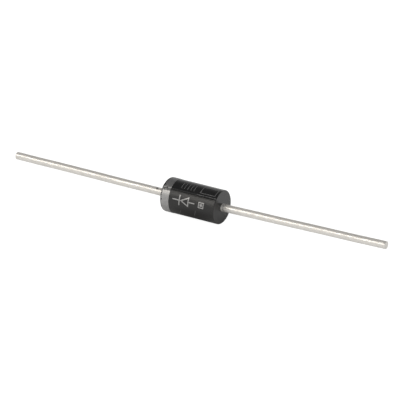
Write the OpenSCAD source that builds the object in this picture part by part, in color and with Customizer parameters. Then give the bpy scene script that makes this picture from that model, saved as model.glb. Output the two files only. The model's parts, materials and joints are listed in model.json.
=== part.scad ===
// Axial-lead rectifier diode in a moulded body of the large (3 A) size.
// X runs along the leads: the banded cathode end is at -X and the anode end at +X.
// The origin is the middle of the body, on its axis, where the chip lies.

/* [Body] */
// Diameter of the moulded body
body_d = 5.3; // [4.8:0.1:5.8]
// Length of the body, measured where the two mould halves meet
body_l = 9.5; // [8.6:0.1:10.4]
// Slope of each half's end face, so that it leaves the mould
end_draft = 1.5; // [0.5:0.5:4]
// Slope of each half's side wall next to the parting line
side_draft = 10; // [8:1:14]
// Height of the flash rib on the parting line
flash_h = 0.03; // [0.01:0.005:0.03]
// Turn of the parting plane about the axis, from level
parting_angle = 49.5; // [0:0.5:90]
// Width of the broken edge round each end face
edge_break = 0.1; // [0.05:0.05:0.3]

/* [Gate mark] */
// Length of the broken gate mark along the body
gate_l = 1.2; // [0.3:0.1:1.3]
// Width of the gate mark round the body
gate_w = 0.6; // [0.3:0.05:0.9]
// How far the middle of the mark lies below the parting line, on the side of the gate's runner
gate_below = 0.2; // [0:0.02:0.3]
// Depth of the gate mark at the end face
gate_depth = 0.14; // [0.05:0.01:0.25]

/* [Cathode band] */
// Bare rim between the body's edge break and the ink
band_inset = 0.03; // [0.02:0.01:0.3]
// Width of the ink band
band_w = 1.35; // [0.8:0.05:2.2]
// Thickness of the ink
ink_t = 0.03; // [0.02:0.005:0.06]

/* [Leads] */
// Diameter of the wire
lead_d = 1.2; // [1:0.05:1.4]
// Length of wire outside each end of the body
lead_l = 28; // [22:1:34]
// Broken edge at each cut wire end
tip_break = 0.1; // [0.04:0.02:0.2]
// Width of the ring that the mould's clamp presses into each wire, right outside the body
clamp_w = 0.55; // [0.5:0.05:0.9]
// Depth of that ring
clamp_depth = 0.03; // [0.01:0.01:0.06]
// Angle that the anode lead is bent up just outside the body
anode_bend = 1.2; // [0.4:0.2:4]
// Straight wire between the clamp's ring and that bend
bend_clear = 0.1; // [0.1:0.05:2]

/* [Lead heads] */
// Diameter of the flat head that carries the chip
head_d = 2.9; // [2.9:0.1:3.2]
// Thickness of the head
head_t = 0.45; // [0.4:0.05:0.6]
// Broken edge on both sides of the head's rim
head_break = 0.06; // [0.03:0.01:0.1]
// Diameter of the cone where it meets the back of the head
cone_d = 2; // [1.8:0.1:2.4]
// Length of the cone behind the head
cone_l = 0.6; // [0.4:0.1:0.9]
// Grip grooves in the shank inside the body
groove_count = 3; // [1:1:3]
// Distance from one grip groove to the next
groove_pitch = 0.6; // [0.5:0.05:0.65]
// Width of a grip groove at its mouth
groove_w = 0.3; // [0.2:0.05:0.4]
// Depth of a grip groove
groove_depth = 0.1; // [0.05:0.01:0.15]

/* [Junction] */
// Side of the square chip
die_side = 2; // [1.6:0.1:2]
// Thickness of the chip
die_t = 0.28; // [0.2:0.02:0.36]
// How far each edge of the chip leans in towards its anode face
die_bevel = 0.08; // [0.02:0.02:0.14]
// Bare margin between the edge of the chip's narrow face and its soldered pad
pad_margin = 0.06; // [0.04:0.02:0.16]
// Thickness of each solder layer
solder_t = 0.07; // [0.04:0.01:0.1]
// How far the solder spreads on the head, past the pad
solder_spread = 0.2; // [0.1:0.05:0.35]
// How far the coating stands out past the heads
coating_proud = 0.35; // [0.25:0.05:0.4]
// Length of each head's rim that the coating covers
coating_lap = 0.3; // [0.2:0.02:0.34]

/* [Hidden] */
$fn = 96;

body_r = body_d / 2;
body_end = body_l / 2;
lead_r = lead_d / 2;
head_r = head_d / 2;
past = 1; // how far a cutting shape runs past what it cuts

// Places along the axis, from the middle of the chip outwards.
die_face = die_t / 2;
head_face = die_face + solder_t;
head_back = head_face + head_t;
cone_end = head_back + cone_l;
groove_start = (cone_end + body_end - groove_count * groove_pitch) / 2;
clamp_end = body_end + clamp_w;
bend_x = clamp_end + bend_clear;

// The end faces lean back by this much at the far side of each half.
lean_back = body_r * tan(end_draft);
band_start = -body_end + lean_back + edge_break + band_inset;

// The coating's outside is an arc. It springs from the lap lines on the two heads' rims and
// crowns midway between them.
lap_x = head_face + coating_lap;
coating_arc = (coating_proud * coating_proud + lap_x * lap_x) / (2 * coating_proud);

// Stands what was drawn in X and Y, and raised along Z, up along +X instead.
module along_x() { rotate([90, 0, 90]) children(); }

// Turns a shape so that its local +Z points at the parting line on the front of the body.
module at_parting_line() { rotate([90 - parting_angle, 0, 0]) children(); }

// ---- Moulded body ---------------------------------------------------------------------------

// Section of the moulding at a height above its skin: a circle, and beside the parting plane
// (here the X axis) the drafted walls that rise to the flash rib.
module mould_section(above = 0) {
    r = body_r + above;
    rib = r + flash_h;
    wall = r * sin(side_draft);
    foot = rib - wall * tan(side_draft);
    circle(r = r);
    polygon([[rib, 0], [foot, wall], [-foot, wall], [-rib, 0], [-foot, -wall], [foot, -wall]]);
}

// A length of the moulding's section from x0 to x1.
module mould_bar(x0, x1, above = 0) {
    translate([x0, 0, 0]) along_x() rotate([0, 0, -parting_angle])
        linear_extrude(height = x1 - x0) mould_section(above);
}

// What one half's end wall leaves out at the +X end: all that lies past a face that leans
// inwards, and a ring outside the cone of the broken edge.
module end_waste(side) {
    cone_h = edge_break + flash_h + lean_back;
    waste_r = body_d;
    rotate([-parting_angle, 0, 0]) translate([body_end, 0, 0]) rotate([0, -side * end_draft, 0])
        rotate([0, 90, 0]) translate([0, 0, -cone_h])
            difference() {
                cylinder(h = cone_h + past, r = waste_r);
                translate([0, 0, -past])
                    cylinder(h = cone_h + past, r1 = body_r - edge_break + cone_h + past,
                             r2 = body_r - edge_break);
            }
}

// The mark where the gate was broken off: a sloping chip out of the rim at the cathode end.
module gate_chip() {
    slope = atan(gate_depth / gate_l);
    at_parting_line() translate([-body_end, 0, body_r - gate_depth]) rotate([0, -slope, 0])
        translate([-past, -gate_below - gate_w / 2, 0]) cube([gate_l + 2 * past, gate_w, past]);
}

module epoxy_body() {
    color([0.13, 0.13, 0.125]) difference() {
        mould_bar(-body_end, body_end);
        for (side = [-1, 1]) {
            end_waste(side);
            mirror([1, 0, 0]) end_waste(side);
        }
        gate_chip();
        lead_form(body_end + past);
        mirror([1, 0, 0]) lead_form(body_end + past);
        coating_form();
    }
}

module cathode_band_ink() {
    color([0.52, 0.52, 0.51]) difference() {
        mould_bar(band_start, band_start + band_w, ink_t);
        mould_bar(band_start - past, band_start + band_w + past);
        gate_chip();
    }
}

// ---- Leads ----------------------------------------------------------------------------------

// A ring groove in a profile of the wire, from z0 on.
function ring_groove(z0, width, depth) =
    [[lead_r, z0], [lead_r - depth, z0 + width / 2], [lead_r, z0 + width]];

// A lead on the anode side that ends at x_end: flat head, cone, grip grooves, the clamp's ring
// and wire. With no end_break its end is left square.
module lead_form(x_end, end_break = 0) {
    head = [[0, head_face], [head_r - head_break, head_face], [head_r, head_face + head_break],
            [head_r, head_back - head_break], [head_r - head_break, head_back],
            [cone_d / 2, head_back], [lead_r, cone_end]];
    grooves = [for (i = [0 : groove_count - 1])
        each ring_groove(groove_start + i * groove_pitch, groove_w, groove_depth)];
    clamp = ring_groove(body_end, clamp_w, clamp_depth);
    tip = end_break > 0 ? [[lead_r, x_end - end_break], [lead_r - end_break, x_end]]
                        : [[lead_r, x_end]];
    along_x() rotate_extrude() polygon(concat(head, grooves, clamp, tip, [[0, x_end]]));
}

module cathode_lead() {
    color([0.8, 0.79, 0.75]) mirror([1, 0, 0]) lead_form(body_end + lead_l, tip_break);
}

// All that lies beyond the plane that halves the anode lead's bend.
module past_bend() {
    translate([bend_x, 0, 0]) rotate([0, -anode_bend / 2, 0])
        translate([0, -head_d, -head_d]) cube([2 * lead_l, 2 * head_d, 2 * head_d]);
}

module anode_lead() {
    rest_l = lead_l - clamp_w - bend_clear;
    color([0.8, 0.79, 0.75]) {
        difference() {
            lead_form(bend_x + past);
            past_bend();
        }
        intersection() {
            translate([bend_x, 0, 0]) rotate([0, -anode_bend, 0]) along_x() rotate_extrude()
                polygon([[0, -past], [lead_r, -past], [lead_r, rest_l - tip_break],
                         [lead_r - tip_break, rest_l], [0, rest_l]]);
            past_bend();
        }
    }
}

// ---- Junction -------------------------------------------------------------------------------

// The chip between two planes of bevel: full size at its cathode face, narrower at the anode.
module die_wedge() {
    wide = die_side / 2;
    narrow = wide - die_bevel;
    translate([0, 0, -die_side]) linear_extrude(height = 2 * die_side)
        polygon([[-die_face, -wide], [die_face, -narrow], [die_face, narrow], [-die_face, wide]]);
}

module silicon_die() {
    color([0.35, 0.36, 0.4]) intersection() {
        die_wedge();
        rotate([90, 0, 0]) die_wedge();
    }
}

// A solder layer on the anode side: the size of the chip's pad, spreading onto the head.
module solder_form() {
    pad_r = die_side / 2 - die_bevel - pad_margin;
    translate([die_face, 0, 0]) along_x()
        cylinder(h = solder_t, r1 = pad_r, r2 = pad_r + solder_spread);
}

module anode_solder() { color([0.62, 0.63, 0.65]) solder_form(); }

module cathode_solder() { color([0.62, 0.63, 0.65]) mirror([1, 0, 0]) solder_form(); }

// The coating and all that it encloses.
module coating_form() {
    along_x() rotate_extrude() intersection() {
        union() {
            translate([head_r + coating_proud - coating_arc, 0]) circle(r = coating_arc);
            translate([0, -lap_x]) square([head_r, 2 * lap_x]);
        }
        translate([0, -lap_x]) square([head_r + coating_proud + past, 2 * lap_x]);
    }
}

module junction_coating() {
    color([0.86, 0.85, 0.82]) difference() {
        coating_form();
        lead_form(body_end);
        mirror([1, 0, 0]) lead_form(body_end);
        solder_form();
        mirror([1, 0, 0]) solder_form();
        silicon_die();
    }
}

epoxy_body();
cathode_band_ink();
cathode_lead();
anode_lead();
silicon_die();
cathode_solder();
anode_solder();
junction_coating();
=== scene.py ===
# %% [markdown]
# # An axial rectifier diode, piece by piece
#
# A power diode is a black epoxy moulding with a tinned copper wire out of each end. This lesson
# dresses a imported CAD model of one: the CAD gives every size and place, and each cell models one
# visible piece over it. All lengths are in metres, in the CAD's own frame: X runs along the wires,
# the banded cathode end is at -X, and Z is up.

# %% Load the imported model
import json
import math
import random

import bmesh
import bpy
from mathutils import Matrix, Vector


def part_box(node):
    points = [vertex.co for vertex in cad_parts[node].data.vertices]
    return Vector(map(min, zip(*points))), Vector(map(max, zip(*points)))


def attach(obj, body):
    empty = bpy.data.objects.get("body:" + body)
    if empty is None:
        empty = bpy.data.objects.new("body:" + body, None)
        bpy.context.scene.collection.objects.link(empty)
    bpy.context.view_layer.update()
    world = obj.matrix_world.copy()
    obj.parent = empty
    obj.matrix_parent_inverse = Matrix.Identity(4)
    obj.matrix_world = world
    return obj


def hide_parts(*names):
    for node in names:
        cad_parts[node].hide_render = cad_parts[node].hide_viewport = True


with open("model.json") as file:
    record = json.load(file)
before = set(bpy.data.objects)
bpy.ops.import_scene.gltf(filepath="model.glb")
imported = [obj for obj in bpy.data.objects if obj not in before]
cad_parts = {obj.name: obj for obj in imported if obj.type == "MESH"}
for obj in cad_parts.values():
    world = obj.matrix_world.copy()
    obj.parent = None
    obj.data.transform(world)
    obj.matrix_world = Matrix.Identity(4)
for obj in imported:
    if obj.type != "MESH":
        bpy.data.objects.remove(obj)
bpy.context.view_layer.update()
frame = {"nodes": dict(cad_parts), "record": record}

MM = 0.001
print("CAD nodes:", sorted(frame["nodes"]))

# %% [markdown]
# ## Sizes
#
# Nothing is measured twice. The body's radius and length come from its CAD node, the band's place
# from the ink's node, and the wire from the mounts in the record. Only the fine details that the
# eye finds on a real diode, such as the mould's drafts, are set here.

# %% Read the sizes from the CAD
body_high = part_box("epoxy_body")[1]
ink_low, ink_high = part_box("cathode_band_ink")
cathode_low, cathode_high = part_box("cathode_lead")

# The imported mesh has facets, so its box may miss the true radius by a hair.
NOMINAL_R = 2.65 * MM
FACET_SLACK = 0.01 * MM
body_end = body_high.x
body_r = NOMINAL_R if abs(body_high.z - NOMINAL_R) < FACET_SLACK else body_high.z
wire_r = frame["record"]["mounts"][0]["dims"]["r_mm"] * MM
anode_axis = Vector(frame["record"]["mounts"][1]["axis"])
anode_bend = math.atan2(anode_axis.z, anode_axis.x)
tip_end = -cathode_low.x
head_face = -cathode_high.x

parting = math.radians(49.5)
end_draft = math.radians(1.5)
print(f"body {2 * body_end / MM:.2f} x {2 * body_r / MM:.2f} mm, wire {2 * wire_r / MM:.2f} mm")
print(f"anode wire bent up {math.degrees(anode_bend):.2f} degrees")


# %% [markdown]
# ## Places on the body
#
# Most details lie on the round wall, so they are placed by two numbers: how far along X, and the
# angle up from the level line that faces the viewer (-Y). 90 degrees is the top of the body, and
# the parting line of the mould lies at 49.5 degrees, because the diode has rolled over a little.

# %% Convert between points and places on the wall
def wall_angle(point):
    """Angle of a point about the axis, in degrees: 0 faces -Y and 90 faces up."""
    return math.degrees(math.atan2(point.z, -point.y))


def radius_of(point):
    return math.hypot(point.y, point.z)


def on_wall(x, degrees, radius):
    angle = math.radians(degrees)
    return Vector((x, -radius * math.cos(angle), radius * math.sin(angle)))


def from_parting(point):
    """Signed angle from the nearer of the two parting lines, in degrees."""
    return (wall_angle(point) - math.degrees(parting) + 90) % 180 - 90


print("the top lies", round(90 - math.degrees(parting), 1), "degrees above the parting line")


# %% [markdown]
# ## Modelling helpers
#
# Blender's operators act on whatever is selected, so each step begins by selecting exactly what it
# needs, by place. `select_where` is the code version of picking points by eye. `grow` is the pair
# of operators that makes most of this object: extrude an open ring along the axis, then scale it
# about the axis.

# %% Select and extrude
def deselect_all():
    if bpy.context.object and bpy.context.object.mode != "OBJECT":
        bpy.ops.object.mode_set(mode="OBJECT")
    bpy.ops.object.select_all(action="DESELECT")


def edit(piece):
    deselect_all()
    bpy.context.view_layer.objects.active = piece
    piece.select_set(True)
    bpy.ops.object.mode_set(mode="EDIT")
    bpy.ops.mesh.select_mode(type="VERT")


def select_where(piece, test, kind="verts"):
    """Selects the points (or edges or faces) that pass the test, and nothing else."""
    mode = {"verts": "VERT", "edges": "EDGE", "faces": "FACE"}[kind]
    bpy.ops.mesh.select_mode(type=mode)
    bpy.ops.mesh.select_all(action="DESELECT")
    mesh = bmesh.from_edit_mesh(piece.data)
    found = [item for item in getattr(mesh, kind) if test(item)]
    for item in found:
        item.select_set(True)
    mesh.select_flush_mode()
    bmesh.update_edit_mesh(piece.data)
    return len(found)


def select_loose_end(piece, side):
    """Selects the ring of open edges that lies furthest out at one side (+1 or -1) of X."""
    return select_where(piece, lambda e: e.is_boundary and side * e.verts[0].co.x > 0, "edges")


def grow(along, scale=1.0, about_x=0.0):
    bpy.ops.mesh.extrude_region_move(TRANSFORM_OT_translate={"value": (along, 0, 0)})
    if scale != 1.0:
        bpy.ops.transform.resize(value=(1, scale, scale), center_override=(about_x, 0, 0))


def ring(name, columns, radius, x, first_angle):
    """A circle about the X axis with a point at the given wall angle."""
    deselect_all()
    bpy.ops.mesh.primitive_circle_add(vertices=columns, radius=radius)
    piece = bpy.context.object
    piece.name = name
    piece.data.name = name
    piece.rotation_euler = (0, math.radians(90), 0)
    bpy.ops.object.transform_apply(location=True, rotation=True, scale=True)
    piece.rotation_euler = (math.pi - math.radians(first_angle), 0, 0)
    piece.location.x = x
    bpy.ops.object.transform_apply(location=True, rotation=True, scale=True)
    return piece


def finish_mesh(piece, sharp_above=30):
    """Welds doubles, turns every face outwards and smooths all but the sharp corners."""
    edit(piece)
    bpy.ops.mesh.select_all(action="SELECT")
    bpy.ops.mesh.remove_doubles(threshold=1e-7)
    bpy.ops.mesh.normals_make_consistent(inside=False)
    bpy.ops.object.mode_set(mode="OBJECT")
    bpy.ops.object.shade_smooth_by_angle(angle=math.radians(sharp_above))
    print(piece.name, "has", len(piece.data.polygons), "faces")


def settle(piece, slot, *nodes):
    """Hangs the piece on the root body and hides the CAD nodes that it stands for. The slot is not
    used.
    """
    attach(piece, "root")
    if nodes:
        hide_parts(*nodes)


# %% [markdown]
# ## The moulded body: its section
#
# The mould has two halves. Beside the plane where they meet, each wall is drafted so that the part
# drops out, and the two drafts rise to a thin rib of flash. The section could be drawn as a curve,
# but a circle with one point on each parting line, and three more pulled out on either side of it,
# gives the same rib with plain scaling.

# %% Make the mould's section
COLUMNS = 256
STEP = 360 / COLUMNS
flash_h = 0.03 * MM
side_draft = math.radians(10)


def rib_scale(degrees):
    """How far out the drafted wall stands at this angle from the parting line, as a factor."""
    angle = math.radians(abs(degrees))
    out = (body_r + flash_h) / (math.cos(angle) + math.sin(angle) * math.tan(side_draft))
    return max(1.0, out / body_r)


def mould_section(name, x, radius=body_r):
    piece = ring(name, COLUMNS, radius, x, math.degrees(parting))
    edit(piece)
    for column in range(5):
        def in_column(v, turn=column * STEP):
            return abs(abs(from_parting(v.co)) - turn) < STEP / 4
        select_where(piece, in_column)
        k = rib_scale(column * STEP)
        bpy.ops.transform.resize(value=(1, k, k), center_override=(x, 0, 0))
    bpy.ops.mesh.select_all(action="SELECT")
    return piece


# %% [markdown]
# ## The moulded body: wall and ends
#
# The section is swept along X in short steps, because the later chips and the ragged flash need
# points to move. The ends could be flat discs, but each half of the mould is drafted there too, so
# each end is two faces that lean back from the parting plane. Two bisect cuts make them. The open
# rim is then drawn in towards the wire in rings: scaling about the middle of the end keeps every
# ring in the leaning faces.

# %% Sweep the wall and cut the leaning ends
NEAR_END = 0.35 * MM
SPARE = 0.1 * MM
WALL_STEPS = 90
moulding = mould_section("moulding", -body_end - SPARE)
grow(NEAR_END + SPARE)
for step in range(WALL_STEPS):
    grow((2 * body_end - 2 * NEAR_END) / WALL_STEPS)
grow(NEAR_END + SPARE)

up_y, up_z = math.sin(parting), math.cos(parting)
for side in (-1, 1):
    for half in (-1, 1):
        lean = half * math.sin(end_draft)
        bpy.ops.mesh.select_all(action="SELECT")
        bpy.ops.mesh.bisect(plane_co=(side * body_end, 0, 0),
                            plane_no=(side * math.cos(end_draft), lean * up_y, lean * up_z),
                            clear_outer=True, threshold=1e-8)

# %% Draw each end in to the wire's hole
END_RINGS = [0.93, 0.86, 0.78, 0.69, 0.59, 0.49, 0.4, 0.33, 0.275]
hole_r = wire_r + 0.004 * MM
for side in (-1, 1):
    select_loose_end(moulding, side)
    size_now = 1.0
    for size in END_RINGS + [hole_r / body_r]:
        k = size / size_now
        bpy.ops.mesh.extrude_region_move()
        bpy.ops.transform.resize(value=(k, k, k), center_override=(side * body_end, 0, 0))
        size_now = size

# %% [markdown]
# ## The moulded body: its cavity
#
# Inside, the epoxy has set round the leads, so the cavity is a cast of them: the flat head that
# carries the chip, its cone, three grip grooves, and in the middle the barrel of soft coating. It
# could be left out, since nobody sees it, but then the mesh would be a bag with a wire stuck
# through it. One list of radii serves for the leads and for their cast, so the two always fit.

# %% Write down the profile of a lead inside the body
LEAD_INSIDE = [(head_face / MM, 1.39), (0.27, 1.45), (0.6, 1.45), (0.66, 1.39), (0.66, 1.0),
               (1.26, 0.6)]
for groove in (2.105, 2.705, 3.305):
    LEAD_INSIDE += [(groove, 0.6), (groove + 0.15, 0.5), (groove + 0.3, 0.6)]
COATING_BARREL = [(0.51, 1.45), (0.3, 1.71), (0.1, 1.791)]
print("points in the lead's profile:", len(LEAD_INSIDE))

# %% Draw the cavity inwards and bridge it
CLEAR = 0.004
for side in (-1, 1):
    select_loose_end(moulding, side)
    x_now, r_now = body_end / MM, hole_r / MM
    cast = [(x, r + CLEAR) for x, r in reversed(LEAD_INSIDE) if x > 0.51] + COATING_BARREL
    for x, r in cast:
        grow(side * (x - x_now) * MM, r / r_now)
        x_now, r_now = x, r
select_where(moulding, lambda e: e.is_boundary, "edges")
bpy.ops.mesh.bridge_edge_loops()
finish_mesh(moulding, 18)

# %% Break the rim of each end face
edit(moulding)
rim_edges = select_where(moulding, lambda e: all(
    radius_of(v.co) > 0.985 * body_r and abs(v.co.x) > body_end - 0.08 * MM for v in e.verts), "edges")
bpy.ops.mesh.bevel(offset=0.09 * MM, segments=6, profile=0.5, affect="EDGES")
print("rim edges broken:", rim_edges)


# %% [markdown]
# ## The moulded body: flash and the parting line
#
# Epoxy creeps between the mould's halves and tears off when the part is knocked out, so the rib is
# never even. It stands highest towards the anode end. Just under it the lower half's lip is rounded
# in a little, and towards the anode end there is a step as well, where the halves were slightly out
# of register. Short stretches of the rib are scaled in and out at random, with a
# fixed seed so that the part comes out the same each time. On the end face the same seam shows as
# a fine ragged ridge with a gutter beside it.

# %% Make the flash uneven
chance = random.Random(11)


def on_front_wall(v, low, high):
    """Is this a point of the outer wall, between two angles from the front parting line?"""
    near_front = abs(wall_angle(v.co) - math.degrees(parting)) < 60
    return near_front and radius_of(v.co) > 0.97 * body_r and low < from_parting(v.co) < high


def scale_about_axis(k):
    bpy.ops.transform.resize(value=(1, k, k), center_override=(0, 0, 0))


stretch = -body_end
while stretch < body_end:
    length = chance.uniform(0.12, 0.5) * MM
    tallest = 0.016 if stretch > 1.3 * MM else 0.006
    k = 1 + chance.uniform(-0.003, tallest)
    select_where(moulding, lambda v: abs(from_parting(v.co)) < STEP / 4
                 and radius_of(v.co) > 0.97 * body_r
                 and stretch <= v.co.x < stretch + length
                 and abs(v.co.x) < body_end - 0.12 * MM)
    scale_about_axis(k)
    stretch += length

# %% Round the lower half's lip in under the flash
LIP = [(1, 0.984), (2, 0.9895), (3, 0.9945), (4, 0.998)]
for column, k in LIP:
    rounded = select_where(moulding, lambda v: on_front_wall(
        v, -(column + 0.4) * STEP, -(column - 0.4) * STEP)
        and -3.2 * MM < v.co.x < body_end - 0.12 * MM)
    scale_about_axis(k)
print("points in the lip's last column:", rounded)

# %% Sink the step under the flash, towards the anode end
STEP_STARTS = [(1.4, 0.996), (2.5, 0.989), (3.4, 0.997)]
for start, k in STEP_STARTS:
    sunk = select_where(moulding, lambda v: on_front_wall(v, -3.2 * STEP, -0.5 * STEP)
                        and start * MM < v.co.x < body_end - 0.12 * MM)
    scale_about_axis(k)
print("points in the step's last stretch:", sunk)

# %% Raise the torn seam on the end faces
for side in (-1, 1):
    for reach, lift in ((STEP / 4, 0.03), (-1, -0.012)):
        def on_seam(v):
            on_face = v.co.x * side > body_end - 0.1 * MM
            inner = hole_r * 1.2 < radius_of(v.co) < 0.95 * body_r
            turn = from_parting(v.co)
            hit = abs(turn) < reach if reach > 0 else -2.3 * STEP < turn < -0.5 * STEP
            return on_face and inner and hit
        select_where(moulding, on_seam)
        bpy.ops.transform.translate(value=(side * lift * MM, 0, 0))
        bpy.ops.transform.vertex_random(offset=0.02 * MM, uniform=0.2, normal=0.6, seed=5)

# %% [markdown]
# ## The moulded body: the broken gate
#
# The epoxy came in through a gate at the rim of the banded end, just under the parting line. When
# the runner was snapped off it tore a shallow scar with a rough floor. A boolean would leave a clean
# pocket, so the points there are pushed in and shaken instead, which is what a tear looks like.

# %% Tear the gate's scar
GATE_LENGTH = 1.5 * MM
for reach, depth in ((GATE_LENGTH, 0.03), (0.7 * GATE_LENGTH, 0.03), (0.35 * GATE_LENGTH, 0.05)):
    torn = select_where(moulding, lambda v: on_front_wall(v, -11.2, -2.2)
                        and v.co.x < -body_end + reach)
    inwards = -on_wall(0, math.degrees(parting) - 7, depth * MM)
    bpy.ops.transform.translate(value=inwards)
    bpy.ops.transform.vertex_random(offset=0.02 * MM, uniform=0.1, normal=0.7, seed=3)
print("torn points at the rim:", torn)

# %% Leave a nib on the ledge above the scar
select_where(moulding, lambda v: on_front_wall(v, -1, 1) and abs(v.co.x + 3.95 * MM) < 0.06 * MM)
bpy.ops.transform.translate(value=on_wall(0, math.degrees(parting), 0.05 * MM),
                            use_proportional_edit=True, proportional_size=0.16 * MM)
bpy.ops.object.mode_set(mode="OBJECT")
bpy.ops.object.shade_smooth_by_angle(angle=math.radians(18))
settle(moulding, "moulding_compound", "epoxy_body")

# %% [markdown]
# ## The cathode band
#
# A wheel rolls a ring of grey ink onto the cathode end. It follows the wall and the flash rib, but
# skips the torn gate, and its outer edge breaks up where the wheel ran off the rim. A painted
# material could fake it, but printed ink has thickness, so it is a strip of the same mould section:
# swept, nibbled along its edges face by face, then thickened outwards.

# %% Sweep the strip of ink
BAND_ROWS = 34
band_start, band_end = ink_low.x, ink_high.x
row_w = (band_end - band_start) / BAND_ROWS
band = mould_section("cathode_band", band_start)
for row in range(BAND_ROWS):
    grow(row_w)

# %% Nibble its edges
chance = random.Random(29)
bites = [0] * COLUMNS
column = 0
while column < COLUMNS:
    width = chance.choice((1, 1, 2, 2, 3))
    upper = 49.5 < (column * STEP) % 360 < 200
    deep = chance.choice((0, 1, 2, 3, 3)) if upper else chance.choice((0, 0, 0, 1, 1, 2))
    for step in range(column, min(column + width, COLUMNS)):
        bites[step] = deep
    column += width
ragged = [chance.choice((0, 0, 1, 2)) for row in range(BAND_ROWS)]


def is_bitten(face):
    middle = face.calc_center_median()
    angle = wall_angle(middle)
    row = int((middle.x - band_start) / row_w)
    column = int((angle % 360) / STEP) % COLUMNS
    edge_gap = row < bites[column] or row > BAND_ROWS - 2 and column % 7 == 3
    turn = from_parting(middle)
    gate = abs(angle - math.degrees(parting)) < 30 and -11 + ragged[row] < turn < -2
    rim_chip = abs(angle - 6) < 3 and row < 4
    return edge_gap or gate or rim_chip


bitten = select_where(band, is_bitten, "faces")
bpy.ops.mesh.delete(type="FACE")
print("faces bitten out of the band:", bitten)

# %% Thicken the ink outwards
finish_mesh(band, 25)
ink_t = 0.0255 * MM
thicken = band.modifiers.new("ink", "SOLIDIFY")
thicken.thickness = ink_t
thicken.offset = 1
bpy.ops.object.modifier_apply(modifier=thicken.name)
finish_mesh(band, 25)
settle(band, "band_ink", "cathode_band_ink")

# %% [markdown]
# ## The leads
#
# Each lead is one length of tinned copper wire. Its inner end is upset into a flat head; outside
# the body the mould's clamp has left a shallow ring, and the far end was sheared. A lathe-like
# piece could be spun from a profile, but growing it ring by ring leaves rings to work on wherever
# they are wanted. The cathode lead has a few extra ones beside the body.

# %% Grow a lead from its profile
LEAD_COLUMNS = 72
CLAMP_RING = [(4.75, 0.6), (4.98, 0.597), (5.01, 0.583), (5.04, 0.596), (5.3, 0.6)]


TIP_SPARE = 0.012  # mm, so that the shaken tips stay inside the CAD's length


def lead_profile(fine_from=0.0, fine_to=0.0):
    """Points (x, radius) in mm, with rings close together between the two places."""
    points = LEAD_INSIDE + CLAMP_RING
    x = 5.3
    while x < tip_end / MM - 0.7:
        x += 0.06 if fine_from < x < fine_to else 0.45
        points = points + [(x, wire_r / MM)]
    tip = tip_end / MM - TIP_SPARE
    return points + [(tip - 0.13, 0.6), (tip - 0.05, 0.585), (tip - 0.015, 0.545),
                     (tip - 0.005, 0.47), (tip - 0.03, 0.32), (tip - 0.02, 0.15)]


def grow_lead(name, side, profile):
    x_now, r_now = profile[0]
    lead = ring(name, LEAD_COLUMNS, r_now * MM, side * x_now * MM, 0)
    edit(lead)
    bpy.ops.mesh.select_all(action="SELECT")
    for x, r in profile[1:]:
        grow(side * (x - x_now) * MM, r / r_now)
        x_now, r_now = x, r
    bpy.ops.mesh.edge_face_add()
    select_where(lead, lambda e: e.is_boundary, "edges")
    bpy.ops.mesh.edge_face_add()
    return lead


cathode_wire = grow_lead("cathode_wire", -1, lead_profile(5.3, 6.1))
anode_wire = grow_lead("anode_wire", 1, lead_profile())


# %% [markdown]
# ## The leads: handling marks
#
# Soft wire never stays straight. The anode lead leaves the body bent up by about a degree, and both
# have a slight sway from handling. The bend is two half turns, so that it has a radius. The sway is
# a Displace modifier with a slow cloud texture, held off near the body by a vertex group. The
# sheared ends are shaken a little.

# %% Bend the anode lead and shake the sheared ends
edit(anode_wire)
bend_x = 5.4 * MM
for pivot in (bend_x - 0.1 * MM, bend_x + 0.1 * MM):
    select_where(anode_wire, lambda v: v.co.x > pivot + 1e-6)
    bpy.ops.transform.rotate(value=anode_bend / 2, orient_axis="Y", center_override=(pivot, 0, 0))
for wire, side in ((cathode_wire, -1), (anode_wire, 1)):
    edit(wire)
    select_where(wire, lambda v: v.co.x * side > tip_end - 0.035 * MM)
    bpy.ops.transform.vertex_random(offset=0.012 * MM, uniform=0.1, normal=0.3, seed=8)
    bpy.ops.object.mode_set(mode="OBJECT")
tip = max(anode_wire.data.vertices, key=lambda v: v.co.x).co
print(f"anode tip at x {tip.x / MM:.2f}, z {tip.z / MM:.2f} mm")

# %% Let both leads sway a little
slow_cloud = bpy.data.textures.new("slow_cloud", "CLOUDS")
slow_cloud.noise_scale = 9 * MM
slow_cloud.noise_depth = 0
for wire in (cathode_wire, anode_wire):
    free = wire.vertex_groups.new(name="free")
    for v in wire.data.vertices:
        share = min(max((abs(v.co.x) - 6 * MM) / (6 * MM), 0), 1)
        free.add([v.index], share, "REPLACE")
    for direction, amount in (("Y", 0.05), ("Z", 0.06)):
        deselect_all()
        bpy.context.view_layer.objects.active = wire
        wire.select_set(True)
        sway = wire.modifiers.new("sway", "DISPLACE")
        sway.texture = slow_cloud
        sway.direction = direction
        sway.strength = amount * MM
        sway.vertex_group = "free"
        bpy.ops.object.modifier_apply(modifier=sway.name)
    finish_mesh(wire, 30)
settle(cathode_wire, "tinned_wire", "cathode_lead")
settle(anode_wire, "tinned_wire", "anode_lead")

# %% [markdown]
# ## The printed marks
#
# Real diodes carry a printed code. This one carries only plain marks: the drawing symbol of a
# diode, pointing at the band, a square, and above the parting line a few ticks and a frame. They are
# drawn flat first, because a flat drawing is easy to measure, with Y as the height round the wall.
# Cuts at even heights then let the drawing roll onto the wall, and Solidify gives the ink its body.

# %% Draw the flat marks
STROKE = 0.17 * MM
FINE = 0.1 * MM


def bar(x0, x1, low, high):
    """A printed bar, from one corner to the other, in mm."""
    deselect_all()
    bpy.ops.mesh.primitive_plane_add(size=1, location=((x0 + x1) / 2 * MM, (low + high) / 2 * MM, 0))
    piece = bpy.context.object
    piece.scale = ((x1 - x0) * MM, (high - low) * MM, 1)
    bpy.ops.object.transform_apply(location=True, rotation=True, scale=True)
    return piece


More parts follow.
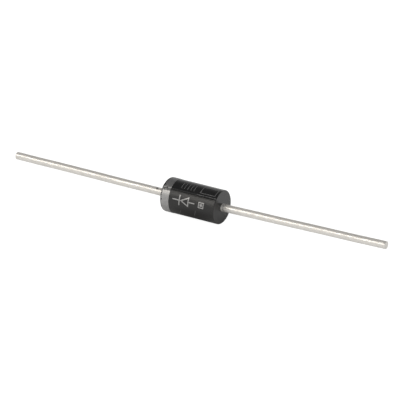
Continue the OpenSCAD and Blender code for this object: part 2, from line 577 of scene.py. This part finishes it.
def hollow(piece, stroke):
    """Leaves only an outline of this width."""
    edit(piece)
    bpy.ops.mesh.select_all(action="SELECT")
    bpy.ops.mesh.inset(thickness=stroke)
    bpy.ops.mesh.delete(type="FACE")
    bpy.ops.object.mode_set(mode="OBJECT")
    return piece


def triangle(apex_x, base_x, middle, half_height):
    deselect_all()
    bpy.ops.mesh.primitive_circle_add(vertices=3, radius=1, fill_type="NGON")
    piece = bpy.context.object
    low = min(v.co.y for v in piece.data.vertices)
    for v in piece.data.vertices:
        at_apex = v.co.y > low + 0.1
        rise = 0 if at_apex else math.copysign(half_height, v.co.x)
        v.co = Vector((apex_x if at_apex else base_x, middle + rise, 0)) * MM
    return piece


row = 0.77
flat_marks = [
    bar(-2.55, -1.45, row - 0.085, row + 0.085),
    bar(-1.42, -1.25, row - 0.8, row + 0.8),
    hollow(triangle(-1.22, 0.3, row, 0.78), STROKE),
    bar(0.33, 1.35, row - 0.085, row + 0.085),
    hollow(bar(2.0, 2.95, row - 0.47, row + 0.47), 0.14 * MM),
    bar(2.27, 2.68, row - 0.2, row + 0.2),
]
for x in (-1.7, -1.15, -0.6, -0.05, 0.5):
    flat_marks.append(bar(x, x + 0.1, 2.68, 3.9))
flat_marks.append(hollow(bar(1.7, 4.35, 2.62, 4.1), FINE))
deselect_all()
for piece in flat_marks:
    piece.select_set(True)
bpy.context.view_layer.objects.active = flat_marks[0]
bpy.ops.object.join()
marks = bpy.context.object
marks.name = "printed_marks"
marks.data.name = "printed_marks"
print("flat faces drawn:", len(marks.data.polygons))

# %% Cut them at even heights and roll them onto the wall
edit(marks)
height = -0.1
while height < 4.2:
    bpy.ops.mesh.select_all(action="SELECT")
    bpy.ops.mesh.bisect(plane_co=(0, height * MM, 0), plane_no=(0, 1, 0), threshold=1e-8)
    height += 0.09
bpy.ops.object.mode_set(mode="OBJECT")
lift = 0.003 * MM
for v in marks.data.vertices:
    v.co = on_wall(v.co.x, math.degrees(v.co.y / body_r), body_r + lift)
deselect_all()
marks.select_set(True)
bpy.context.view_layer.objects.active = marks
thicken = marks.modifiers.new("ink", "SOLIDIFY")
thicken.thickness = 0.012 * MM
thicken.offset = 1
bpy.ops.object.modifier_apply(modifier=thicken.name)
finish_mesh(marks, 30)
settle(marks, "band_ink")

# %% [markdown]
# ## Materials: small helpers
#
# A finish is a few textures mixed and sent to one shader. `put` adds a node, sets its options and
# fills its inputs, either with a plain value or with another node's output.

# %% Add nodes and wire them up
def put(tree, kind, options=None, **inputs):
    made = tree.nodes.new("ShaderNode" + kind)
    for name, value in (options or {}).items():
        setattr(made, name, value)
    for key, value in inputs.items():
        key = int(key[1:]) if key[0] == "i" and key[1:].isdigit() else key.replace("_", " ")
        if isinstance(value, bpy.types.NodeSocket):
            tree.links.new(value, made.inputs[key])
        else:
            made.inputs[key].default_value = value
    return made


def maths(tree, operation, first, second=0.0, third=0.0, clamp=False):
    options = {"operation": operation, "use_clamp": clamp}
    return put(tree, "Math", options, i0=first, i1=second, i2=third).outputs[0]


def mix_colour(tree, share, first, second):
    made = put(tree, "Mix", {"data_type": "RGBA"}, i0=share, i6=first, i7=second)
    return made.outputs[2]


def mix_value(tree, share, first, second):
    return put(tree, "Mix", {"data_type": "FLOAT"}, i0=share, i2=first, i3=second).outputs[0]


def grey(value, warm=0.0):
    return (value * (1 + warm), value, value * (1 - 1.5 * warm), 1)


def new_material(name):
    material = bpy.data.materials.new(name)
    material.use_nodes = True
    tree = material.node_tree
    tree.nodes.clear()
    shader = tree.nodes.new("ShaderNodeBsdfPrincipled")
    output = tree.nodes.new("ShaderNodeOutputMaterial")
    tree.links.new(shader.outputs[0], output.inputs[0])
    return material, tree, shader


def new_group(name, inputs, outputs):
    """A node group with named sockets: (label, type, default) in, (label, type) out."""
    tree = bpy.data.node_groups.new(name, "ShaderNodeTree")
    for label, kind, value in inputs:
        made = tree.interface.new_socket(name=label, in_out="INPUT", socket_type="NodeSocket" + kind)
        if value is not None:
            made.default_value = value
    for label, kind in outputs:
        tree.interface.new_socket(name=label, in_out="OUTPUT", socket_type="NodeSocket" + kind)
    return tree, tree.nodes.new("NodeGroupInput").outputs, tree.nodes.new("NodeGroupOutput").inputs


def use_group(tree, group, **inputs):
    made = tree.nodes.new("ShaderNodeGroup")
    made.node_tree = group
    for key, value in inputs.items():
        key = key.replace("_", " ")
        if isinstance(value, bpy.types.NodeSocket):
            tree.links.new(value, made.inputs[key])
        else:
            made.inputs[key].default_value = value
    return made.outputs


def dress(material, *pieces):
    for piece in pieces:
        piece.data.materials.clear()
        piece.data.materials.append(material)
    print(material.name, "on", ", ".join(piece.name for piece in pieces))


# %% [markdown]
# ## Materials: two shared effects
#
# *Grain* is the fine tooth of a moulded or sawn surface: noise at a size given in millimetres, out
# as a height and as a soft mottle. *Mould halves* says which half of the mould a point came from.
# One half was polished and the other only spark-eroded, so the moulding's finish changes at that
# line, and the ink above it is painted darker as painted shade. Both read Object coordinates, so
# they stay put on the piece.

# %% Build the grain group
grain, given, result = new_group(
    "grain",
    [("Size", "Float", 0.1), ("Stretch", "Float", 1.0), ("Detail", "Float", 2.0)],
    [("Height", "Float"), ("Mottle", "Float")])
place = put(grain, "TexCoord").outputs["Object"]
in_mm = put(grain, "VectorMath", {"operation": "SCALE"}, i0=place, Scale=1000.0).outputs[0]
squeeze = put(grain, "CombineXYZ", X=maths(grain, "DIVIDE", 1.0, given["Stretch"]), Y=1.0, Z=1.0)
laid = put(grain, "VectorMath", {"operation": "MULTIPLY"}, i0=in_mm, i1=squeeze.outputs[0]).outputs[0]
per_mm = maths(grain, "DIVIDE", 1.0, given["Size"])
fine = put(grain, "TexNoise", Vector=laid, Scale=per_mm, Detail=given["Detail"], Roughness=0.6)
coarse = put(grain, "TexNoise", Vector=laid, Scale=maths(grain, "DIVIDE", per_mm, 4.0), Detail=2.0)
grain.links.new(fine.outputs[0], result["Height"])
soft = put(grain, "MapRange", Value=coarse.outputs[0], From_Min=0.3, From_Max=0.7)
grain.links.new(soft.outputs[0], result["Mottle"])

# %% Build the mould halves group
halves, given, result = new_group(
    "mould_halves",
    [("Line Height", "Float", 0.0), ("Softness", "Float", 0.05)],
    [("Upper Half", "Float"), ("Over", "Float")])
place = put(halves, "TexCoord").outputs["Object"]
in_mm = put(halves, "VectorMath", {"operation": "SCALE"}, i0=place, Scale=1000.0).outputs[0]
over = put(halves, "VectorMath", {"operation": "DOT_PRODUCT"}, i0=in_mm, i1=(0, up_y, up_z))
wander = put(halves, "TexNoise", Vector=in_mm, Scale=1.6, Detail=2.0).outputs[0]
line = maths(halves, "ADD", given["Line Height"], maths(halves, "MULTIPLY_ADD", wander, 0.12, -0.06))
above = maths(halves, "SUBTRACT", over.outputs["Value"], line)
edge = put(halves, "MapRange", {"interpolation_type": "SMOOTHSTEP"}, Value=above,
           From_Min=maths(halves, "MULTIPLY", given["Softness"], -1.0), From_Max=given["Softness"])
halves.links.new(edge.outputs[0], result["Upper Half"])
halves.links.new(over.outputs["Value"], result["Over"])
print("shared effects:", grain.name, halves.name)

# %% [markdown]
# ## Material: the moulding compound
#
# Black epoxy filled with silica. The lower half is satin and slightly warm, and its rough skin
# spreads the lamp's light into a broad sheen; the polished half is a deep gloss black. The polish
# starts a little below the parting line, and dips further towards the anode end.

# %% Make the moulding compound
epoxy, tree, shader = new_material("black_epoxy")
place = put(tree, "SeparateXYZ", Vector=put(tree, "TexCoord").outputs["Object"]).outputs
dip = put(tree, "MapRange", {"interpolation_type": "SMOOTHSTEP"}, Value=place[0],
          From_Min=2.1 * MM, From_Max=2.9 * MM, To_Min=-0.2, To_Max=-0.33).outputs[0]
mould = use_group(tree, halves, Line_Height=dip, Softness=0.12)
upper_half = mould["Upper Half"]
tooth = use_group(tree, grain, Size=0.07, Detail=3.0)
matte = mix_colour(tree, tooth["Mottle"], grey(0.007, 0.05), grey(0.01, 0.06))
gloss = mix_colour(tree, tooth["Mottle"], grey(0.008), grey(0.011))
skin = mix_colour(tree, upper_half, matte, gloss)
rough = mix_value(tree, tooth["Mottle"], 0.4, 0.44)
smooth = mix_value(tree, tooth["Mottle"], 0.19, 0.25)
shine = mix_value(tree, upper_half, rough, smooth)

# %% [markdown]
# Two places break that skin. The flash rib is thin and torn; where it stands up, towards the anode,
# it is painted paler, a painted highlight for the light along its edge. The gate's scar is raw
# broken epoxy: grey and rough.

# %% Add the painted highlight on the flash, and the raw scar
def between(tree, value, low, high, blur):
    """1 between two values and 0 outside, with soft edges."""
    rise = maths(tree, "DIVIDE", maths(tree, "SUBTRACT", value, low), blur, clamp=True)
    fall = maths(tree, "DIVIDE", maths(tree, "SUBTRACT", high, value), blur, clamp=True)
    return maths(tree, "MULTIPLY", rise, fall)


near_side = maths(tree, "LESS_THAN", place[1], 0.0)
# painted highlight: the flash rib is painted pale grey where it stands up, towards the anode
flash_highlight = maths(tree, "MULTIPLY", between(tree, mould["Over"], -0.05, 0.06, 0.03),
              between(tree, place[0], 1.2 * MM, body_end, 0.3 * MM))
flash_highlight = maths(tree, "MULTIPLY", flash_highlight, maths(tree, "MULTIPLY_ADD", tooth["Mottle"], 0.6, 0.3))
skin = mix_colour(tree, flash_highlight, skin, grey(0.2))
scar = maths(tree, "MULTIPLY", between(tree, mould["Over"], -0.55, -0.03, 0.03),
             between(tree, place[0], -body_end, -3.25 * MM, 0.05 * MM))
scar = maths(tree, "MULTIPLY", scar, near_side)
raw = mix_colour(tree, tooth["Height"], grey(0.03), grey(0.24))
skin = mix_colour(tree, scar, skin, raw)
tree.links.new(mix_value(tree, scar, shine, 0.7), shader.inputs["Roughness"])

# %% [markdown]
# Two hair-thin slanting scuffs cross the lower wall, where the part rubbed in its tray.

# %% Add the scuffs and the tooth
SCUFFS = [(-1.05, 0.5, -1.75, -0.8), (1.64, 0.35, -1.5, -0.2)]  # x at top, slope, bottom, top
in_millimetres = [maths(tree, "MULTIPLY", place[axis], 1000.0) for axis in (0, 2)]
for start, slope, bottom, top in SCUFFS:
    slant = maths(tree, "MULTIPLY_ADD", in_millimetres[1], -slope, in_millimetres[0])
    middle = start - slope * top
    hair = maths(tree, "MULTIPLY", between(tree, slant, middle - 0.035, middle + 0.035, 0.02),
                 between(tree, in_millimetres[1], bottom, top, 0.2))
    hair = maths(tree, "MULTIPLY", maths(tree, "MULTIPLY", hair, near_side), 0.8)
    skin = mix_colour(tree, hair, skin, grey(0.22))
tree.links.new(skin, shader.inputs["Base Color"])
bump = put(tree, "Bump", Strength=0.35, Distance=0.004 * MM, Height=tooth["Height"])
tree.links.new(bump.outputs[0], shader.inputs["Normal"])
shader.inputs["Specular IOR Level"].default_value = 0.58
dress(epoxy, moulding)

# %% [markdown]
# ## Material: the printed ink
#
# Aluminium-filled grey ink. It is half metallic, so it flashes bright on the lit side and falls to
# mid grey round the body. Above the parting line its colour is painted darker: painted shade.

# %% Make the ink
ink, tree, shader = new_material("silver_ink")
upper_half = use_group(tree, halves, Line_Height=0.2, Softness=0.05)["Upper Half"]
tooth = use_group(tree, grain, Size=0.06, Detail=3.0)
low = mix_colour(tree, tooth["Mottle"], grey(0.34, 0.01), grey(0.43, 0.01))
# painted shade: the ink above the parting line is a darker copy of the same ink
high = mix_colour(tree, tooth["Mottle"], grey(0.21), grey(0.28))
tree.links.new(mix_colour(tree, upper_half, low, high), shader.inputs["Base Color"])
tree.links.new(mix_value(tree, tooth["Mottle"], 0.4, 0.48), shader.inputs["Roughness"])
shader.inputs["Metallic"].default_value = 0.75
bump = put(tree, "Bump", Strength=0.4, Distance=0.004 * MM, Height=tooth["Height"])
tree.links.new(bump.outputs[0], shader.inputs["Normal"])
dress(ink, band, marks)

# %% [markdown]
# ## Material: the tinned wire
#
# Bright tin over copper, drawn through a die, so it has fine lines along its length and patches
# where the tin is duller. The grain group does both: stretched forty times along X it makes the
# drawing lines, and hardly stretched it makes the patches. A small dark spot on the cathode lead is
# painted shade for a small nick where the tin was knocked. It is in the finish only: no dent is
# pressed into the wire.

# %% Make the tinned wire
nick_centre = on_wall(-6.7 * MM, 68, wire_r)
tin, tree, shader = new_material("tinned_copper")
lines = use_group(tree, grain, Size=0.06, Stretch=40.0, Detail=2.0)
patches = use_group(tree, grain, Size=0.16, Stretch=1.6, Detail=3.0)
drawn = mix_colour(tree, lines["Height"], (0.79, 0.76, 0.71, 1), (0.92, 0.9, 0.86, 1))
dull = mix_colour(tree, patches["Mottle"], (0.7, 0.67, 0.62, 1), drawn)
plain = mix_colour(tree, 0.45, drawn, dull)
place = put(tree, "TexCoord").outputs["Object"]
to_nick = put(tree, "VectorMath", {"operation": "DISTANCE"}, i0=place, i1=nick_centre).outputs["Value"]
# painted shade: a dark spot stands in for the shade inside a small nick
nick_shade = put(tree, "MapRange", {"interpolation_type": "SMOOTHSTEP"}, Value=to_nick,
            From_Min=0.12 * MM, From_Max=0.3 * MM, To_Min=0.65, To_Max=0.0).outputs[0]
tree.links.new(mix_colour(tree, nick_shade, plain, grey(0.03)), shader.inputs["Base Color"])
tree.links.new(mix_value(tree, patches["Mottle"], 0.46, 0.36), shader.inputs["Roughness"])
shader.inputs["Metallic"].default_value = 0.6
ripple = put(tree, "Bump", Strength=0.3, Distance=0.006 * MM, Height=lines["Height"])
dents = put(tree, "Bump", Strength=0.25, Distance=0.01 * MM, Height=patches["Height"],
            Normal=ripple.outputs[0])
tree.links.new(dents.outputs[0], shader.inputs["Normal"])
dress(tin, cathode_wire, anode_wire)

# %% [markdown]
# ## Materials: the pieces inside
#
# The chip, its solder and its coating stay as the CAD made them. Nobody sees them in the closed
# part, but whoever cuts the model open should find silicon, solder and rubber there.

# %% Dress the chip, the solder and the coating
silicon, tree, shader = new_material("polished_silicon")
tooth = use_group(tree, grain, Size=0.05, Detail=2.0)
blue = mix_colour(tree, tooth["Mottle"], (0.1, 0.105, 0.13, 1), (0.13, 0.135, 0.15, 1))
tree.links.new(blue, shader.inputs["Base Color"])
tree.links.new(mix_value(tree, tooth["Height"], 0.15, 0.3), shader.inputs["Roughness"])
shader.inputs["Metallic"].default_value = 0.8
dress(silicon, frame["nodes"]["silicon_die"])

solder, tree, shader = new_material("dull_solder")
tooth = use_group(tree, grain, Size=0.09, Detail=3.0)
lead_grey = mix_colour(tree, tooth["Mottle"], grey(0.4), grey(0.5))
tree.links.new(lead_grey, shader.inputs["Base Color"])
tree.links.new(mix_value(tree, tooth["Height"], 0.35, 0.5), shader.inputs["Roughness"])
shader.inputs["Metallic"].default_value = 1.0
dress(solder, frame["nodes"]["anode_solder"], frame["nodes"]["cathode_solder"])

rubber, tree, shader = new_material("white_silicone")
tooth = use_group(tree, grain, Size=0.12, Detail=2.0)
white = mix_colour(tree, tooth["Mottle"], grey(0.72, 0.03), grey(0.8, 0.02))
tree.links.new(white, shader.inputs["Base Color"])
tree.links.new(mix_value(tree, tooth["Height"], 0.4, 0.55), shader.inputs["Roughness"])
bump = put(tree, "Bump", Strength=0.2, Distance=0.01 * MM, Height=tooth["Height"])
tree.links.new(bump.outputs[0], shader.inputs["Normal"])
dress(rubber, frame["nodes"]["junction_coating"])

# %% [markdown]
# ## Floor
#
# The diode lies on a white sheet that fills the view. The sheet glows just enough to be pure white
# to the camera, and its plain diffuse part takes the soft shadow. In reflections its glow is
# painted darker under the body: a painted shadow, where real paper lies in the body's shade.

# %% Lay the floor
SHADED = (5.3 * MM, 7.0 * MM)
SHADE_MIDDLE = (0.4 * MM, 0.8 * MM, 0)
deselect_all()
bpy.ops.mesh.primitive_plane_add(size=1.6, location=(0, 0, -body_r - 0.035 * MM))
floor = bpy.context.object
floor.name = "floor"
bpy.ops.object.transform_apply(location=True, rotation=True, scale=True)
sheet = bpy.data.materials.new("white_sheet")
sheet.use_nodes = True
tree = sheet.node_tree
tree.nodes.clear()
path = put(tree, "LightPath").outputs
seen = maths(tree, "MAXIMUM", path["Is Camera Ray"], path["Is Transmission Ray"])
place = put(tree, "TexCoord").outputs["Object"]
beside = put(tree, "VectorMath", {"operation": "SUBTRACT"}, i0=place, i1=SHADE_MIDDLE)
spread = put(tree, "VectorMath", {"operation": "MULTIPLY"}, i0=beside.outputs[0],
             i1=(1 / SHADED[0], 1 / SHADED[1], 0.0))
away = put(tree, "VectorMath", {"operation": "LENGTH"}, i0=spread.outputs[0]).outputs["Value"]
# painted shadow: the glow seen in reflections is lowered near the body
open_sheet = put(tree, "MapRange", {"interpolation_type": "SMOOTHSTEP"}, Value=away,
                 From_Min=0.35, From_Max=1.5, To_Min=0.05, To_Max=0.66).outputs[0]
seen = maths(tree, "MAXIMUM", seen, maths(tree, "MULTIPLY", path["Is Glossy Ray"], open_sheet))
glow = put(tree, "Emission", Color=(1, 1, 1, 1), Strength=maths(tree, "MULTIPLY", seen, 0.93))
matt = put(tree, "BsdfDiffuse", Color=(0.3, 0.3, 0.3, 1))
both = put(tree, "AddShader", i0=glow.outputs[0], i1=matt.outputs[0])
put(tree, "OutputMaterial", Surface=both.outputs[0])
floor.data.materials.append(sheet)

# %% [markdown]
# ## Light
#
# One large warm softbox, high on the left and towards the viewer, draws the broad highlight under
# the parting line and the cream streak along the wires. Two weaker ones, overhead and beside the
# anode end, only light the surfaces and don't show in reflections. The room round it is white near the
# horizon and dark overhead, which is why the polished half and the wires' upper edges go dark.

# %% Light the room
world = bpy.data.worlds.new("studio")
bpy.context.scene.world = world
world.use_nodes = True
tree = world.node_tree
tree.nodes.clear()
direction = put(tree, "SeparateXYZ", Vector=put(tree, "TexCoord").outputs["Generated"]).outputs
room = put(tree, "ValToRGB", Fac=direction["Z"])
stops = room.color_ramp.elements
stops[0].position, stops[0].color = 0.0, (0.9, 0.9, 0.9, 1)
stops[1].position, stops[1].color = 0.75, (0.13, 0.13, 0.135, 1)
middle = stops.new(0.42)
middle.color = (0.42, 0.42, 0.42, 1)
path = put(tree, "LightPath").outputs
seen = maths(tree, "MAXIMUM", path["Is Camera Ray"], path["Is Transmission Ray"])
shown = mix_colour(tree, seen, room.outputs[0], (1, 1, 1, 1))
put(tree, "OutputWorld", Surface=put(tree, "Background", Color=shown).outputs[0])


def softbox(name, direction, distance, width, height, radiance, colour):
    """A rectangular lamp that faces the origin. Its power gives it this radiance."""
    lamp = bpy.data.lights.new(name, "AREA")
    lamp.shape = "RECTANGLE"
    lamp.size, lamp.size_y = width, height
    lamp.energy = radiance * math.pi * width * height
    lamp.color = colour
    piece = bpy.data.objects.new(name, lamp)
    bpy.context.scene.collection.objects.link(piece)
    piece.location = Vector(direction).normalized() * distance
    piece.rotation_euler = Vector(direction).to_track_quat("Z", "Y").to_euler()
    return piece


softbox("key", (-0.471, -0.655, 0.59), 0.7, 0.4, 0.26, 3.9, (1.0, 0.965, 0.91))
overhead = softbox("overhead", (-0.2, -0.4, 0.9), 0.7, 0.5, 0.5, 1.5, (1.0, 0.98, 0.95))
side = softbox("side", (0.8, -0.45, 0.4), 0.7, 0.5, 0.5, 2.2, (0.97, 0.98, 1.0))
for fill in (overhead, side):
    fill.visible_glossy = False

# %% [markdown]
# ## Camera
#
# A long lens a short arm's length away, looking down along the diode from its anode side.

# %% Set the camera
AZIMUTH, ELEVATION = math.radians(31.2), math.radians(24.65)
back = Vector((math.sin(AZIMUTH) * math.cos(ELEVATION),
               -math.cos(AZIMUTH) * math.cos(ELEVATION), math.sin(ELEVATION)))
right = Vector((math.cos(AZIMUTH), math.sin(AZIMUTH), 0))
up = back.cross(right)
lens = bpy.data.cameras.new("camera")
lens.lens = 260.5
lens.sensor_width = 36
lens.clip_start = 0.01
lens.clip_end = 10
camera = bpy.data.objects.new("camera", lens)
bpy.context.scene.collection.objects.link(camera)
camera.location = 439.1 * MM * back + 0.686 * MM * right + 0.0865 * MM * up
camera.rotation_euler = back.to_track_quat("Z", "Y").to_euler()
bpy.context.scene.camera = camera
bpy.context.scene.view_settings.view_transform = "Standard"
